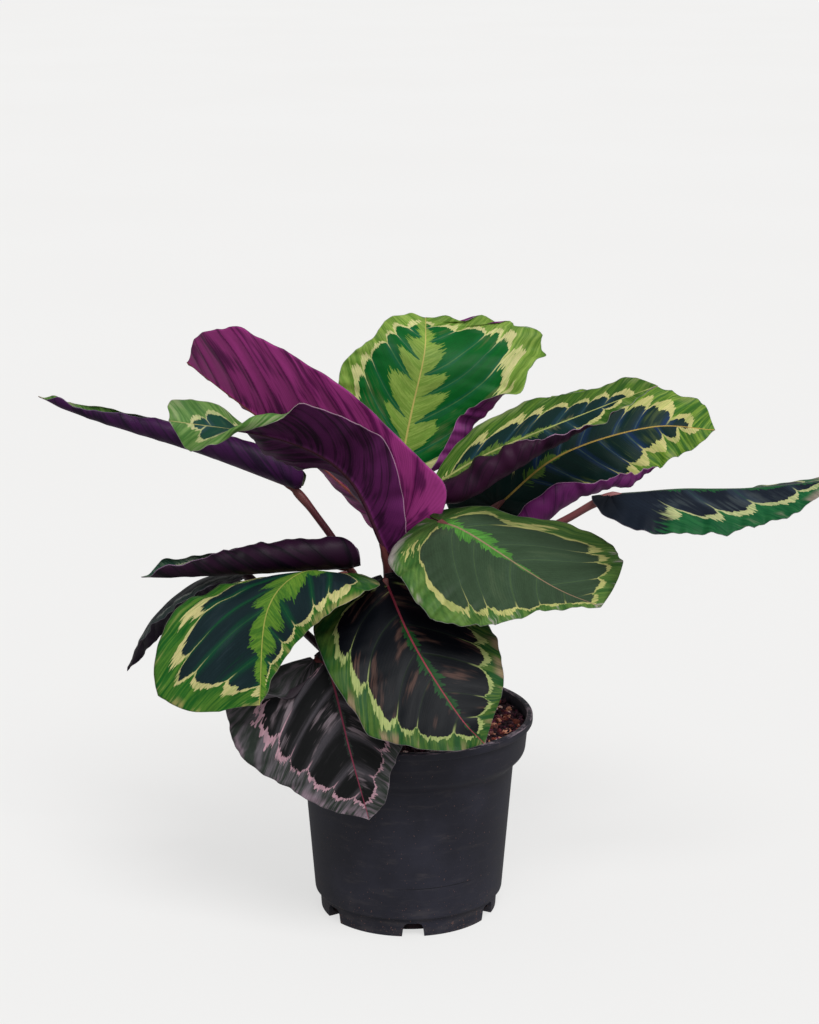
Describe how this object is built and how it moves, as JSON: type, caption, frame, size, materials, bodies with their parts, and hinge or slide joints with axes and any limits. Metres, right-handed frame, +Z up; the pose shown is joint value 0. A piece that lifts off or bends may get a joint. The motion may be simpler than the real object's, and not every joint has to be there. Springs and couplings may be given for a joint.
{
  "type": "potted calathea",
  "caption": "Bushy patterned-leaf house plant in a plain black nursery pot: broad oval blades, some rolled, on thin petioles that rise from soil inside a rimmed pot.",
  "frame": {"origin": "middle of the pot's underside, on the surface the pot stands on", "axes": "+Z up; the side that the plant is seen from looks along -Y; +X is to the right seen from that side"},
  "size_m": [0.4451, 0.196, 0.3279],
  "materials": {
    "pot": "matte",
    "soil": "matte",
    "leaf_upper": "satin",
    "leaf_underside": "satin",
    "leaf_faded": "satin",
    "stem": "satin"
  },
  "bodies": {
    "root": {"pot": "pot", "soil": "soil", "leaf_far_left": "leaf_underside", "leaf_purple_back": "leaf_underside", "leaf_curled_left": "leaf_underside", "leaf_top": "leaf_upper", "leaf_right_channelled": "leaf_upper", "leaf_upper_right": "leaf_upper", "leaf_far_right": "leaf_upper", "leaf_centre_right": "leaf_upper", "leaf_front": "leaf_upper", "leaf_left_front": "leaf_upper", "leaf_rolled_left": "leaf_underside", "leaf_drooping_left": "leaf_underside", "leaf_hanging": "leaf_faded", "stem_far_left": "stem", "stem_purple_back": "stem", "stem_curled_left": "stem", "stem_top": "stem", "stem_right_channelled": "stem", "stem_upper_right": "stem", "stem_far_right": "stem", "stem_centre_right": "stem", "stem_front": "stem", "stem_left_front": "stem", "stem_rolled_left": "stem", "stem_drooping_left": "stem", "stem_hanging": "stem"}
  },
  "joints": []
}
